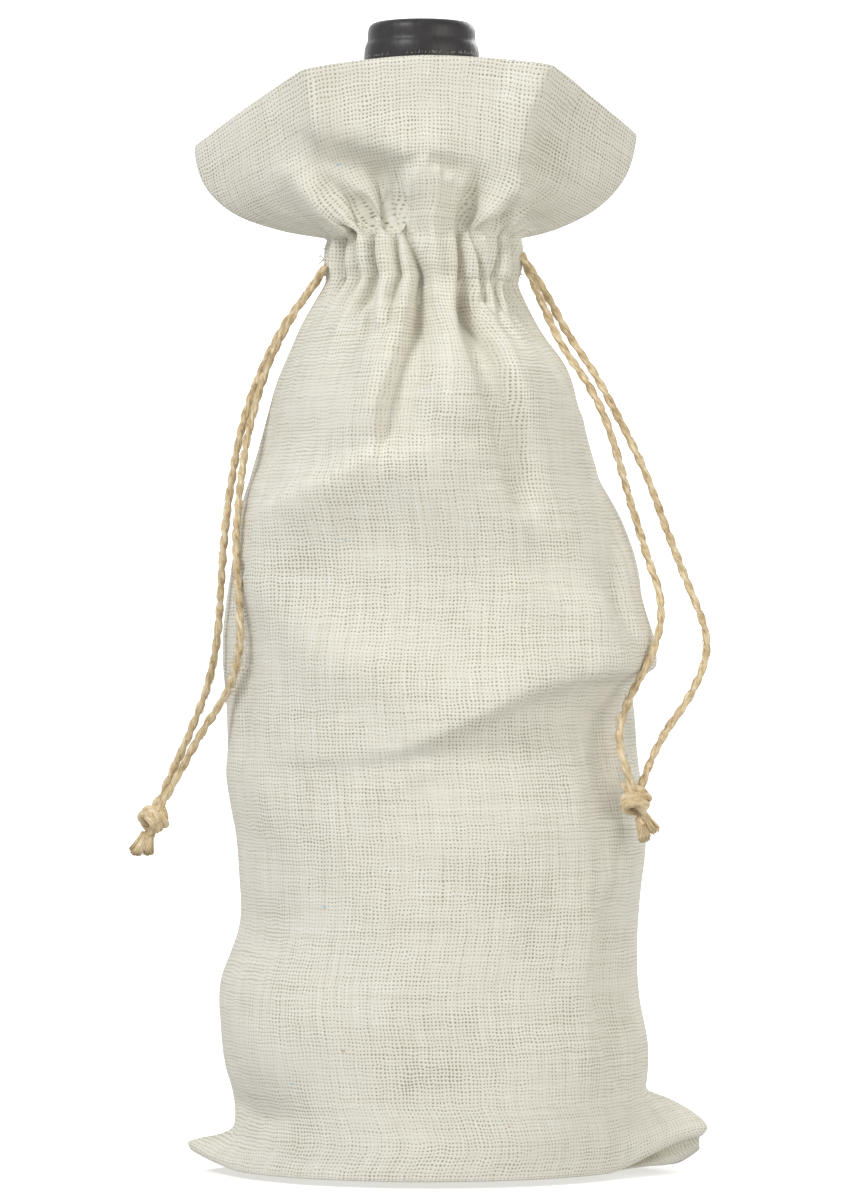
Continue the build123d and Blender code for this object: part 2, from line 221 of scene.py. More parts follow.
# Folds of the body's front, seen from the front in millimetres: a path of (x, height), how
# far the cloth stands out along it, and how far that spreads to the left of the path's own
# direction (up for a path to the right, right for a path down) and to its other side
FOLDS = [
    # the overhanging fold that runs up to the right side seam
    ([(-20, 109), (-6, 111), (3, 114), (14, 119), (27, 126), (44, 130.5), (60, 131.5)],
     [0.8, 1.8, 2.8, 3.8, 4.6, 5.2, 5.0], 14, 1.7),
    # the hollow under it
    ([(8, 107), (24, 115), (40, 121), (50, 119)], [-0.8, -1.8, -2.8, -2.8], 6, 15),
    # the shelf where the cloth breaks over the bottle's shoulder
    ([(-27, 180), (-12, 186), (8, 189)], [1.8, 2.0, 0.8], 2.5, 14),
    # the bulge at the left of the shoulder and the hollow above it
    ([(-44, 160), (-39, 173), (-27, 180)], [3.0, 3.2, 2.4], 3, 13),
    ([(-42, 190), (-32, 196), (-22, 206)], [-2.6, -3.4, -2.0], 9, 8),
    # the slack front between the shoulder and the overhang
    ([(-10, 168), (4, 160), (26, 156), (44, 162)], [-1.6, -2.4, -2.2, -1.2], 15, 15),
    ([(26, 151), (45, 146)], [1.2, 1.4], 5, 5),
    ([(-40, 150), (-24, 136), (-8, 128)], [1.6, 1.8, 1.4], 9, 9),
    # the deep valleys under the neck
    ([(0.3, 233), (-0.4, 227), (-1.6, 219), (-4.4, 211), (-8.2, 199), (-11, 184)],
     [-1.5, -6.5, -8.0, -6.5, -5.0, 0], 6, 1.5),
    ([(11.3, 233), (11, 226), (12, 219), (14.5, 213), (17.5, 203), (21.5, 189), (27, 170)],
     [-1.5, -7.0, -9.0, -8.5, -7.0, -5.2, 0], 4.6, 1.4),
    # the folds that stand at each side of them
    ([(-4, 226), (-8, 212), (-12, 199), (-13, 188)], [1.2, 2.4, 2.2, 0.6], 2.6, 7),
    ([(5, 226), (6, 212), (9, 198), (10, 190)], [0.8, 2.0, 2.0, 0.6], 7, 7),
    ([(16, 224), (20, 212), (27, 198), (31, 184)], [1.6, 2.6, 2.4, 0.6], 7, 3),
    # the short pleats under the casing
    ([(-12.6, 234), (-12.8, 223), (-17, 212), (-20, 202)], [-2.2, -3.0, -2.4, 0], 1.2, 2.2),
    ([(-9.8, 231), (-10.4, 222)], [1.6, 1.8], 2.2, 2.2),
    ([(-12.6, 219.5), (-10, 218.5), (-7.6, 221)], [-1.8, -2.2, -1.6], 1.2, 1.6),
    ([(-6.7, 232), (-7.6, 222)], [-2.6, -2.0], 0.9, 1.0),
    ([(16.6, 228), (17.6, 219)], [-2.8, -1.8], 0.9, 1.1),
    ([(19.8, 234), (20.8, 222), (26, 212)], [-2.6, -2.6, -0.6], 1.6, 1.0),
    ([(23, 234), (25, 222), (33, 211), (41, 200)], [-2.4, -3.0, -2.2, -0.6], 4.0, 1.3),
    ([(26, 218), (36, 206), (46, 186)], [1.2, 2.0, 1.0], 6, 5),
    # the side seams stand up as ridges, with a crease in front
    ([(-41, 181), (-44.5, 166), (-46, 146), (-47, 116), (-47.5, 88)],
     [-0.8, -1.8, -1.8, -1.4, -0.6], 3.2, 1.4),
    ([(48, 178), (52, 166), (52, 148), (53, 134)], [-0.8, -2.0, -2.0, -1.0], 1.4, 3.2),
    ([(47, 118), (49, 100), (50, 84)], [-1.4, -2.6, -1.2], 5, 5),
    ([(50, 74), (48, 60), (47.5, 46), (51, 28)], [-1.2, -4.0, -4.2, -1.6], 6, 2.2),
    ([(43, 66), (41, 50), (44, 30)], [1.2, 1.5, 0.6], 3, 7),
    # soft swells of the lower front
    ([(-40, 34), (-30, 40), (-16, 42)], [1.6, 1.2, 0.4], 9, 12),
    ([(-44, 62), (-30, 66)], [-1.2, -0.6], 10, 10),
    ([(-50, 17), (-40, 14), (-32, 17)], [-1.6, -1.4, -0.4], 4, 4),
    ([(-48, 104), (-40, 96)], [1.2, 0.8], 7, 9),
]

# Folds of the ruffle's front, given the same way
RUFFLE_FOLDS = [
    # the two creases from the mouth's front corners
    ([(33, 289), (27.6, 276), (25.1, 265.5), (24.9, 255), (22.1, 246.6)],
     [1.6, 2.4, 3.0, 2.8, 1.2], 1.5, 7),
    ([(-29, 289), (-27, 275), (-26, 268)], [1.6, 1.8, 1.2], 4, 3),
    # the hollow under the right wing
    ([(38, 274), (32, 261), (28, 250)], [-2.0, -4.0, -2.4], 7, 5),
    # the middle panel's lower edge, then the wide pleat's left edge
    ([(-26, 270), (-17.9, 267.8), (-8, 266), (1, 264.5), (-2.2, 260), (-4, 255.8), (-4.6, 247)],
     [0.6, 1.6, 2.0, 2.4, 3.0, 2.8, 1.4], 9, 2.2),
    ([(-21, 264), (-13, 260), (-8, 252)], [-3.0, -4.4, -3.0], 6, 6),
    # the roll at the left of the pleats and the deep groove beside it
    ([(-25, 256.5), (-18.5, 250.5), (-15.2, 245)], [-1.8, -4.2, -3.4], 2.8, 1.6),
    ([(-34, 261), (-26, 253), (-19, 247)], [1.0, 2.2, 2.2], 3, 3.5),
    ([(-14, 258), (-11.2, 252), (-8.6, 246.5)], [-0.8, -2.2, -2.0], 2.6, 1.5),
    ([(-5.6, 258), (-5.4, 251), (-4.9, 245)], [-1.0, -2.2, -2.2], 1.4, 2.0),
    # the right of the wide pleat
    ([(15, 260), (12.6, 252.5), (11.4, 246)], [-0.4, -2.2, -3.8], 2.2, 1.8),
    ([(12.6, 245.5), (17, 250.5), (24, 258)], [1.8, 2.0, 1.0], 2.4, 2.4),
    ([(15, 245), (20, 249), (22.5, 254)], [-2.6, -2.6, -0.8], 1.2, 1.6),
]


# Folds of the body's back, given the same way, still with x as seen from the front
BACK_FOLDS = [
    ([(-44, 176), (-20, 184), (4, 182)], [1.4, 2.4, 1.0], 4, 12),
    ([(-10, 150), (16, 142), (44, 148)], [1.0, 2.6, 2.2], 12, 2.4),
    ([(20, 120), (-4, 106), (-34, 101)], [0.8, 2.4, 2.0], 3, 12),
    ([(-8, 230), (-12, 214), (-18, 196)], [-1.5, -5.0, 0], 4, 2),
    ([(9, 231), (14, 214), (17, 192)], [-1.5, -5.5, 0], 2, 4),
    ([(-40, 92), (-42, 70), (-38, 48)], [-1.6, -2.4, -1.0], 4, 6),
    ([(30, 64), (36, 40), (34, 24)], [1.2, 2.0, 0.8], 7, 5),
    ([(-16, 66), (6, 56), (26, 60)], [1.0, 1.8, 0.6], 10, 4),
]


def fold_lift(points, path, heights, above, below):
    """How far one fold lifts each point: by its nearest place on the path, and its side."""
    path = np.array(path, float)
    best = np.full(len(points), 1e9)
    lift = np.zeros(len(points))
    for a, b, high_a, high_b in zip(path, path[1:], heights, heights[1:]):
        step = b - a
        t = np.clip(((points - a) @ step) / (step @ step), 0, 1)
        off = points - (a + t[:, None] * step)
        away = np.linalg.norm(off, axis=1)
        side = step[0] * off[:, 1] - step[1] * off[:, 0]
        spread = np.where(side > 0, above, below)
        found = (high_a + t * (high_b - high_a)) * np.exp(-((away / spread) ** 2))
        nearer = away < best
        lift[nearer] = found[nearer]
        best = np.minimum(best, away)
    return lift


def normals(places):
    """The way out of a closed grid of [row][column] places."""
    across = np.roll(places, -1, axis=1) - np.roll(places, 1, axis=1)
    up = np.gradient(places, axis=0)
    out = np.cross(across, up)
    return out / (np.linalg.norm(out, axis=2, keepdims=True) + 1e-12)


def lift_front(part, folds, level_out, strength, way=-1):
    """How far folds lift rows of the cloth, and which way: on their front, or on their back
    with way 1. level_out is out from the bottle's axis, and otherwise out of the cloth."""
    out = normals(part)
    if level_out:
        out = part * [0.55, 1.0, 0.0]
        out /= np.linalg.norm(out, axis=2, keepdims=True) + 1e-9
    flat = part.reshape(-1, 3) / MM
    lift = np.zeros(len(flat))
    for path, heights, left, right in folds:
        lift += strength * fold_lift(flat[:, [0, 2]], path, heights, left, right)
    lift *= ease((way * flat[:, 1] + 2) / 8)
    lift = lift.reshape(part.shape[:2])
    return lift, out


def fold_body(places, marks):
    """Lays the folds on the body, fading out at the floor."""
    wall = places[marks["heel"]:marks["casing"]]
    lift, out = lift_front(wall, FOLDS, True, 1.32)
    lift += lift_front(wall, BACK_FOLDS, True, 1.2, 1)[0]
    height = wall[:, :, 2] / MM
    fade = np.clip((height - 4) / 12, 0, 1)
    wall += out * (lift * fade)[:, :, None] * MM


def fold_ruffle(places, marks):
    """Lays the folds on the ruffle, fading in from the casing."""
    ruffle = places[marks["ruffle"]:marks["edge"] + 1]
    lift, out = lift_front(ruffle, RUFFLE_FOLDS, False, 1.6)
    rows = len(ruffle)
    fade = ease(np.arange(rows) / 3 + 0.2)[:, None]
    ruffle += out * (lift * fade)[:, :, None] * MM


def clear_bottle(places, marks):
    """Keeps the cloth off the bottle: what falls inside it is pressed back out, softly."""
    part = places[marks["heel"] + 2:]
    height = part[:, :, 2] / MM
    radius = np.hypot(part[:, :, 0], part[:, :, 1]) / MM
    least = bottle_radius(height) + 1.0
    soft = 0.5
    over = (radius - least) / soft
    pressed = least + soft * np.logaddexp(0, over)
    scale = np.where(over < 12, pressed / (radius + 1e-9), 1)
    part[:, :, 0] *= scale
    part[:, :, 1] *= scale


# The corners' lift off the floor, in millimetres: the front edge's at each corner, and the
# layer's under it. Then that layer's way, by its share from seam to heel: how far back, and up
RIGHT_RISE, LEFT_RISE = 7.6, 4.6
RIGHT_UNDER, LEFT_UNDER = 5.6, 4.4
UNDER_SHARES = [0, 0.25, 0.5, 0.66, 0.75, 0.83, 0.92, 1]
UNDER_DEPTHS = [1, 0.6, 0.2, 0.25, 0.45, 0.7, 0.75, 0]
UNDER_HEIGHTS = [0, 0.02, 0.15, 0.4, 0.6, 0.8, 0.97, 1]


def lift_ears(places, marks):
    """The corners' front edges stand off the floor. Under them is a dark slit, and below it
    the base's layer, which reaches down and forwards again to the floor."""
    heel = marks["heel"]
    x, y = places[:, :, 0] / MM, places[:, :, 1] / MM
    tips = np.maximum(ease((x - 62) / 9), ease((-x - 48) / 8))
    front = np.maximum(ease((-y + 2.0) / 2.0), tips)
    edge_front = front[heel]
    right, left = np.clip((x - 48) / 26, 0, 1.2), np.clip((-x - 46) / 16, 0, 1.2)
    rise = RIGHT_RISE * ease(right) + LEFT_RISE * left**1.6
    under = RIGHT_UNDER * np.clip((x - 62) / 13, 0, 1.2) ** 2.5 + LEFT_UNDER * left**1.6
    edge_y = y[heel].copy()
    for row in range(heel + 16):
        if row < heel:
            share = row / heel
            back = np.interp(share, UNDER_SHARES, UNDER_DEPTHS)
            part = edge_front * np.clip(RIGHT_RISE * ease(right[heel]) / 3, 0, 1)
            target = edge_y * (1 - back)
            places[row, :, 1] += part * (target * MM - places[row, :, 1])
            up = np.interp(share, UNDER_SHARES, UNDER_HEIGHTS)
            lifted = under[heel] + (rise[heel] - under[heel]) * up
            places[row, :, 2] += edge_front * lifted * MM
        else:
            level = places[row, :, 2] / MM
            lifted = rise[row] * front[row]
            places[row, :, 2] += lifted * np.clip(1 - level / 24, 0, 1) * MM
            near = np.exp(-(((row - heel) / 3) ** 2))
            places[row, :, 1] -= 1.6 * np.clip(lifted / 3, 0, 1) * near * MM


def crumple(places, marks):
    """Small unevenness of washed cloth, out of its surface."""
    out = normals(places)
    rows, columns = places.shape[:2]
    offset = np.zeros((rows, columns))
    for row in range(marks["heel"], rows):
        for column in range(columns):
            x, y, z = places[row, column]
            broad = noise.noise(Vector((x * 38, y * 38, z * 30)))
            fine = noise.noise(Vector((x * 110 + 9, y * 110, z * 90)))
            offset[row, column] = 0.75 * broad + 0.28 * fine
    edge = np.clip((places[:, :, 2] / MM - 3) / 8, 0, 1)
    places += out * (offset * edge)[:, :, None] * MM


def wall_row(height):
    """One row of the body, from the floor to the casing."""
    drop = max(CASING_LOW / MM - height, 0)
    if height < RIGHT_EAR_HEIGHT:
        points = pinched(height)
    else:
        drawn_in = pleat_depth(ANGLES, drop) - puff(ANGLES, 0, PUFF * math.exp(-drop / 10))
        points = oval(left_side(height), right_side(height), half_depth(height), drawn_in)
    points[:, 2] = height
    return evenly(points)


def base_row(share):
    """One row of the base: from the bottom seam, at 0, to the heel of the bag, at 1."""
    heel = wall_row(FLOOR_GAP)
    seam = heel.copy()
    seam[:, 1] = 0
    row = seam + (heel - seam) * math.sin(share * math.pi / 2)
    row[:, 2] = FLOOR_GAP
    return row


def mouth_edge():
    """The ruffle's top edge: a flattened hexagon with soft corners."""
    stops = [
        (-60, 0, 270), (-46, -15, 279), (-30, -25.5, 288), (0, -27.5, 291.2),
        (33, -26, 289.2), (46, -14, 281), (57, 0, 273), (46, 13, 281), (30, 24, 288.5),
        (0, 25.5, 290), (-30, 24, 287.5), (-47, 14, 279),
    ]
    tights = [0.12, 0.5, 0.16, 0.5, 0.16, 0.5, 0.12, 0.5, 0.3, 0.5, 0.3, 0.5]
    count = len(stops)
    dense = []
    for i in range(count):
        a, b = np.array(stops[i - 1], float), np.array(stops[i], float)
        c, d = np.array(stops[(i + 1) % count], float), np.array(stops[(i + 2) % count], float)
        m1, m2 = tights[i] * (c - a), tights[(i + 1) % count] * (d - b)
        for t in np.linspace(0, 1, 100, endpoint=False):
            dense.append(
                (2 * t**3 - 3 * t**2 + 1) * b + (t**3 - 2 * t**2 + t) * m1
                + (-2 * t**3 + 3 * t**2) * c + (t**3 - t**2) * m2
            )
    return np.array(dense)


def by_share(points, shares):
    """Places along each half of a closed outline, at shares of that half from 0 to 1."""
    out = []
    for part, want in zip(halves(points), shares):
        run = run_along(part)
        out.append(places_at(part, run, want * run[-1]))
    return np.vstack(out)


def casing_row(level):
    """One row of the casing: pinched at its two stitchings and puffed out between them."""
    round_cord = 1.0 * math.sin(math.pi * level) ** 0.7
    drawn_in = pleat_depth(ANGLES, level=level) - puff(ANGLES, 0.35 * level, PUFF) - round_cord
    points = oval(CASING_LEFT, CASING_RIGHT, CASING_HALF_DEPTH, drawn_in)
    points[:, 2] = (CASING_LOW + (CASING_HIGH - CASING_LOW) * level) / MM
    return points


def ruffle_row(share, edge):
    """One row of the ruffle, from the casing, at 0, to the mouth's edge, at 1."""
    half = len(ANGLES) // 2
    even = np.linspace(0, 1, half, endpoint=False)
    foot = casing_row(1)
    smooth = oval(CASING_LEFT, CASING_RIGHT, CASING_HALF_DEPTH)
    smooth[:, 2] = foot[0, 2]
    rim = by_share(edge, (even, even))
    sideways = np.clip(np.abs(rim[:, 0:1]) / 60, 0, 1) ** 1.6
    painted_shade_falloff = np.clip(0.42 + 0.58 * sideways, 0, 1)
    rise = np.clip(0.5 - 0.42 * sideways, 0.08, 1)
    knee = smooth + (rim - smooth) * np.hstack([painted_shade_falloff, painted_shade_falloff, rise])
    row = (1 - share) ** 2 * smooth + 2 * share * (1 - share) * knee + share**2 * rim
    climb = share * RUFFLE_RUN / MM
    drawn_in = pleat_depth(ANGLES, level=1, climb=climb)
    drawn_in -= puff(ANGLES, 0.35, PUFF * math.exp(-climb / 8))
    radial = smooth - [0.5, 0, smooth[0, 2]]
    radial /= np.linalg.norm(radial, axis=1)[:, None]
    row -= radial * drawn_in[:, None]
    return evenly(row)


def behind_pleats(row, gap):
    """A row of the inner layer: the outer row with its pleats evened out, moved inwards."""
    steps = np.arange(-9, 10)
    even = np.mean([np.roll(row, k, axis=0) for k in steps], axis=0)
    across = np.roll(even, -1, axis=0) - np.roll(even, 1, axis=0)
    inwards = np.stack([-across[:, 1], across[:, 0], np.zeros(len(row))], axis=1)
    inwards /= np.linalg.norm(inwards, axis=1)[:, None] + 1e-12
    return even + inwards * gap


def facing_rows(places, marks):
    """The layer turned in at the mouth: it follows the ruffle down inside, and its casing
    part lies behind the cords."""
    ruffle = places[marks["ruffle"]:marks["edge"] + 1]
    out = normals(ruffle)
    rows = []
    count = len(ruffle)
    for k in range(count - 2, -1, -2):
        low = (1 - k / (count - 1)) ** 2
        near = ruffle[k] - out[k] * FACING_GAP
        deep = behind_pleats(ruffle[k], 0.0036)
        rows.append(near * (1 - low) + deep * low)
    for level in (0.8, 0.5, 0.2):
        behind = oval(-19, 20, 16.4)
        behind[:, 2] = (CASING_LOW + (CASING_HIGH - CASING_LOW) * level) / MM
        rows.append(evenly(behind) * MM)
    for k in (0, 2, 4):
        rows.append(behind_pleats(places[marks["casing"] - k], 0.0040))
    return np.array(rows)


def designed_cloth():
    """Rows of the cloth from the bottom seam to the mouth, as [row][column] in metres,
    and how far along the flat cloth each row is."""
    rows, along = [], []
    base_rows = 12
    for k in range(base_rows):
        rows.append(base_row(k / base_rows))
        along.append(HEEL_RUN * k / base_rows)
    casing_low = CASING_LOW / MM
    wall_rows = round(CASING_LOW / ROW)
    for k in range(wall_rows):
        rows.append(wall_row(FLOOR_GAP + (casing_low - FLOOR_GAP) * k / wall_rows))
        along.append(HEEL_RUN + SLACK * CASING_LOW * k / wall_rows)
    casing_rows = 8
    casing_start = HEEL_RUN + SLACK * CASING_LOW
    for k in range(casing_rows):
        rows.append(evenly(casing_row(k / casing_rows)))
        along.append(casing_start + (CASING_HIGH - CASING_LOW) * k / casing_rows)
    edge = mouth_edge()
    ruffle_rows = 25
    ruffle_start = casing_start + CASING_HIGH - CASING_LOW
    for k in range(ruffle_rows + 1):
        rows.append(ruffle_row(k / ruffle_rows, edge))
        along.append(ruffle_start + RUFFLE_RUN * k / ruffle_rows)
    marks = {"heel": base_rows, "casing": base_rows + wall_rows,
             "ruffle": base_rows + wall_rows + casing_rows, "edge": len(rows) - 1}
    places = np.array(rows) * MM
    fold_body(places, marks)
    fold_ruffle(places, marks)
    crumple(places, marks)
    clear_bottle(places, marks)
    lift_ears(places, marks)
    turned_in = facing_rows(places, marks)
    clear_bottle(turned_in, {"heel": -2})
    down = np.linspace(along[-1], along[-1] + FACING_DEPTH, len(turned_in) + 1)[1:]
    return np.concatenate([places, turned_in]), np.concatenate([along, down]), marks


def grid_mesh(name, places, close=True, along=None, around=None):
    """A mesh of quads over [row][column] places, joined round the columns. along and around
    are the cloth's length up to each row and its width round it, for a UV map in metres
    that runs out from the middle of each panel to its side seams."""
    rows, columns = places.shape[:2]
    index = np.arange(rows * columns).reshape(rows, columns)
    across = np.roll(index, -1, axis=1) if close else index[:, 1:]
    here = index if close else index[:, :-1]
    faces = np.stack([here[:-1], across[:-1], across[1:], here[1:]], axis=-1).reshape(-1, 4)
    mesh = bpy.data.meshes.new(name)
    mesh.from_pydata(places.reshape(-1, 3).tolist(), [], faces.tolist())
    mesh.update()
    if along is not None:
        steps = across.shape[1]
        column = np.arange(steps)
        middle = np.where(column < steps // 2, 0.25, 0.75)
        left, right = column / steps - middle, (column + 1) / steps - middle
        low, high = around[:-1, None], around[1:, None]
        corner_u = np.stack([left * low, right * low, right * high, left * high], -1)
        corner_u += middle[:, None]
        corner_v = np.stack([along[:-1], along[:-1], along[1:], along[1:]], axis=-1)[:, None]
        shape = (rows - 1, steps, 4)
        uv = np.stack([np.broadcast_to(corner_u, shape), np.broadcast_to(corner_v, shape)], -1)
        mesh.uv_layers.new(name="flat").data.foreach_set("uv", uv.reshape(-1))
    return mesh


def link(name, mesh):
    """A mesh as an object in the scene."""
    obj = bpy.data.objects.new(name, mesh)
    bpy.context.scene.collection.objects.link(obj)
    return obj


def shade_smooth(obj):
    obj.data.polygons.foreach_set("use_smooth", [True] * len(obj.data.polygons))


# Materials

def material(name):
    """A new node material: itself, its nodes and its shader."""
    made = bpy.data.materials.new(name)
    made.use_nodes = True
    return made, made.node_tree, made.node_tree.nodes["Principled BSDF"]


def math_node(tree, operation, *inputs):
    """A Math node over numbers and sockets."""
    node = tree.nodes.new("ShaderNodeMath")
    node.operation = operation
    for socket, value in zip(node.inputs, inputs):
        if isinstance(value, (int, float)):
            socket.default_value = value
        else:
            tree.links.new(value, socket)
    return node.outputs[0]


def noise_of(tree, vector, scale, stretch=(1, 1, 1), detail=2.0, rough=0.5):
    """A noise texture's value, over a vector stretched first."""
    mapping = tree.nodes.new("ShaderNodeMapping")
    mapping.inputs["Scale"].default_value = stretch
    tree.links.new(vector, mapping.inputs["Vector"])
    texture = tree.nodes.new("ShaderNodeTexNoise")
    texture.inputs["Scale"].default_value = scale
    texture.inputs["Detail"].default_value = detail
    texture.inputs["Roughness"].default_value = rough
    tree.links.new(mapping.outputs["Vector"], texture.inputs["Vector"])
    return texture.outputs[0]


def ramp_of(tree, value, stops):
    """A colour ramp over a value: stops are (place, colour)."""
    node = tree.nodes.new("ShaderNodeValToRGB")
    ends = node.color_ramp.elements
    while len(ends) < len(stops):
        ends.new(0.5)
    for end, (place, colour) in zip(ends, stops):
        end.position = place
        end.color = (*colour, 1)
    tree.links.new(value, node.inputs["Fac"])
    return node.outputs["Color"]


def mixed(tree, share, first, second, blend="MIX"):
    """A Mix node over colours and sockets."""
    node = tree.nodes.new("ShaderNodeMix")
    node.data_type = "RGBA"
    node.blend_type = blend
    # a colour Mix node's own sockets, past those for other kinds of value
    factor, a, b = node.inputs[0], node.inputs[6], node.inputs[7]
    for socket, value in ((factor, share), (a, first), (b, second)):
        if isinstance(value, (int, float)):
            socket.default_value = value
        elif isinstance(value, tuple):
            socket.default_value = (*value, 1)
        else:
            tree.links.new(value, socket)
    return node.outputs[2]


def bumped(tree, surface, height, distance, strength):
    """Relief from a height, by a Bump node."""
    bump = tree.nodes.new("ShaderNodeBump")
    bump.inputs["Distance"].default_value = distance
    bump.inputs["Strength"].default_value = strength
    tree.links.new(height, bump.inputs["Height"])
    tree.links.new(bump.outputs["Normal"], surface.inputs["Normal"])


THREAD_PITCH = 0.00098  # of the weave
MUSLIN_THREAD = (0.80, 0.775, 0.69)
# painted shade: the dark seen through the small holes between the threads
PAINTED_HOLE_SHADE = (0.38, 0.355, 0.26)


def muslin():
    """Plain weave over the flat cloth's own lengths, with slubs, flecks, and painted shade in
    small holes.
    """
    made, tree, surface = material("muslin")
    calc = partial(math_node, tree)
    new, links = tree.nodes.new, tree.links
    uv = new("ShaderNodeUVMap")
    uv.uv_map = "flat"
    place = uv.outputs["UV"]
    wander = new("ShaderNodeTexNoise")
    wander.inputs["Scale"].default_value = 260
    wander.inputs["Detail"].default_value = 1.0
    links.new(place, wander.inputs["Vector"])
    nudge = new("ShaderNodeVectorMath")
    nudge.operation = "MULTIPLY_ADD"
    links.new(wander.outputs["Color"], nudge.inputs[0])
    nudge.inputs[1].default_value = (0.0013, 0.0013, 0)
    links.new(place, nudge.inputs[2])
    parts = new("ShaderNodeSeparateXYZ")
    links.new(nudge.outputs["Vector"], parts.inputs[0])
    u = calc("DIVIDE", parts.outputs["X"], THREAD_PITCH)
    v = calc("DIVIDE", parts.outputs["Y"], THREAD_PITCH)

    def rounded(here):
        """A thread's height across it, from 0 between threads to 1 on its middle."""
        wave = calc("SINE", calc("MULTIPLY", here, math.pi))
        return calc("POWER", calc("ABSOLUTE", wave), 1.5)

    def over_and_under(here, there, shift):
        """How high a thread rides as it passes over and under the others."""
        turn = calc("ADD", here, calc("FLOOR", there))
        turn = calc("MULTIPLY", calc("ADD", turn, shift), math.pi)
        return calc("MULTIPLY_ADD", calc("COSINE", turn), 0.4, 0.6)

    across, along = rounded(u), rounded(v)
    warp = calc("MULTIPLY", across, over_and_under(v, u, 0.5))
    weft = calc("MULTIPLY", along, over_and_under(u, v, -0.5))
    height = calc("MAXIMUM", warp, weft)

    # the threads' own thickness, which opens and closes the holes
    thick_weft = noise_of(tree, place, 900, (0.06, 1, 1), 2.0)
    thick_warp = noise_of(tree, place, 900, (1, 0.06, 1), 2.0)
    patches = noise_of(tree, place, 34, (1, 1.4, 1), 3.0, 0.6)
    openness = calc("ADD", calc("ADD", thick_weft, thick_warp), patches)
    opened = calc("MULTIPLY_ADD", openness, 0.9, -1.33)
    gap_u = calc("SUBTRACT", 1, across)
    gap_v = calc("SUBTRACT", 1, along)
    gap = calc("MULTIPLY", calc("POWER", gap_u, 0.85), gap_v)
    hole = calc("MULTIPLY", calc("SUBTRACT", gap, calc("SUBTRACT", 0.49, opened)), 3.2)
    hole = calc("MINIMUM", calc("MAXIMUM", hole, 0), 1)

    slub = noise_of(tree, place, 620, (0.05, 1, 1), 3.0, 0.7)
    warp_slub = noise_of(tree, place, 620, (1, 0.05, 1), 3.0, 0.7)
    tone = calc("ADD", slub, warp_slub)
    thread = ramp_of(tree, calc("MULTIPLY", tone, 0.5), [
        (0.30, (0.70, 0.66, 0.545)), (0.45, (0.775, 0.75, 0.655)), (0.55, MUSLIN_THREAD),
        (0.68, (0.86, 0.85, 0.79)),
    ])
    # painted shade: the threads' colour darkens where they dip between and under each other
    shade = calc("MULTIPLY_ADD", height, 0.07, 0.945)
    grey = new("ShaderNodeCombineColor")
    for socket in grey.inputs[:3]:
        links.new(shade, socket)
    thread = mixed(tree, 1.0, thread, grey.outputs[0], "MULTIPLY")
    cool = noise_of(tree, place, 18, (1, 1, 1), 2.0)
    thread = mixed(tree, calc("MULTIPLY", cool, 0.16), thread, (0.70, 0.74, 0.70))
    # painted shade: the holes take a dark colour for the shade seen through them
    colour = mixed(tree, hole, thread, PAINTED_HOLE_SHADE)

    # seed husks and dyed fibres caught in the yarn
    speck = new("ShaderNodeTexVoronoi")
    speck.inputs["Scale"].default_value = 170
    stretch = new("ShaderNodeMapping")
    stretch.inputs["Scale"].default_value = (0.75, 1.25, 1)
    links.new(nudge.outputs["Vector"], stretch.inputs["Vector"])
    links.new(stretch.outputs["Vector"], speck.inputs["Vector"])
    luck = new("ShaderNodeSeparateColor")
    links.new(speck.outputs["Color"], luck.inputs[0])
    chosen = calc("GREATER_THAN", luck.outputs[0], 0.83)
    near = calc("MULTIPLY", luck.outputs[1], 0.085)
    dot = calc("MULTIPLY", calc("LESS_THAN", speck.outputs["Distance"], near), chosen)
    husk = ramp_of(tree, luck.outputs[2], [
        (0.0, (0.50, 0.30, 0.12)), (0.45, (0.62, 0.46, 0.26)), (0.75, (0.30, 0.17, 0.08)),
        (0.90, (0.72, 0.45, 0.42)), (0.97, (0.42, 0.58, 0.68)),
    ])
    colour = mixed(tree, calc("MULTIPLY", dot, 0.75), colour, husk)
    links.new(colour, surface.inputs["Base Color"])
    surface.inputs["Roughness"].default_value = 0.92
    surface.inputs["Specular IOR Level"].default_value = 0.12
    surface.inputs["Sheen Weight"].default_value = 0.12
    surface.inputs["Sheen Roughness"].default_value = 0.5
    fuzz = noise_of(tree, place, 2600, (1, 1, 1), 2.0, 0.7)
    relief = calc("ADD", height, calc("MULTIPLY", fuzz, 0.35))
    relief = calc("ADD", relief, calc("MULTIPLY", tone, 0.7))
    relief = calc("SUBTRACT", relief, calc("MULTIPLY", hole, 0.8))
    bumped(tree, surface, relief, 0.00010, 0.7)
    return made


def jute():
    """Golden bast fibre, streaked along its plies."""
    made, tree, surface = material("jute")
    calc = partial(math_node, tree)
    coordinates = tree.nodes.new("ShaderNodeTexCoord")
    uv = tree.nodes.new("ShaderNodeUVMap")
    uv.uv_map = "along"
    streak = noise_of(tree, uv.outputs["UV"], 7, (1, 0.06, 1), 4.0, 0.8)
    blotch = noise_of(tree, coordinates.outputs["Object"], 320, (1, 1, 1), 3.0, 0.6)
    tone = calc("ADD", calc("MULTIPLY", streak, 0.65), calc("MULTIPLY", blotch, 0.35))
    colour = ramp_of(tree, tone, [
        (0.38, (0.40, 0.28, 0.14)), (0.46, (0.62, 0.48, 0.285)), (0.53, (0.76, 0.62, 0.40)),
        (0.61, (0.93, 0.84, 0.62)),
    ])
    tree.links.new(colour, surface.inputs["Base Color"])
    surface.inputs["Roughness"].default_value = 0.78
    surface.inputs["Specular IOR Level"].default_value = 0.25
    bumped(tree, surface, streak, 0.00025, 0.9)
    return made


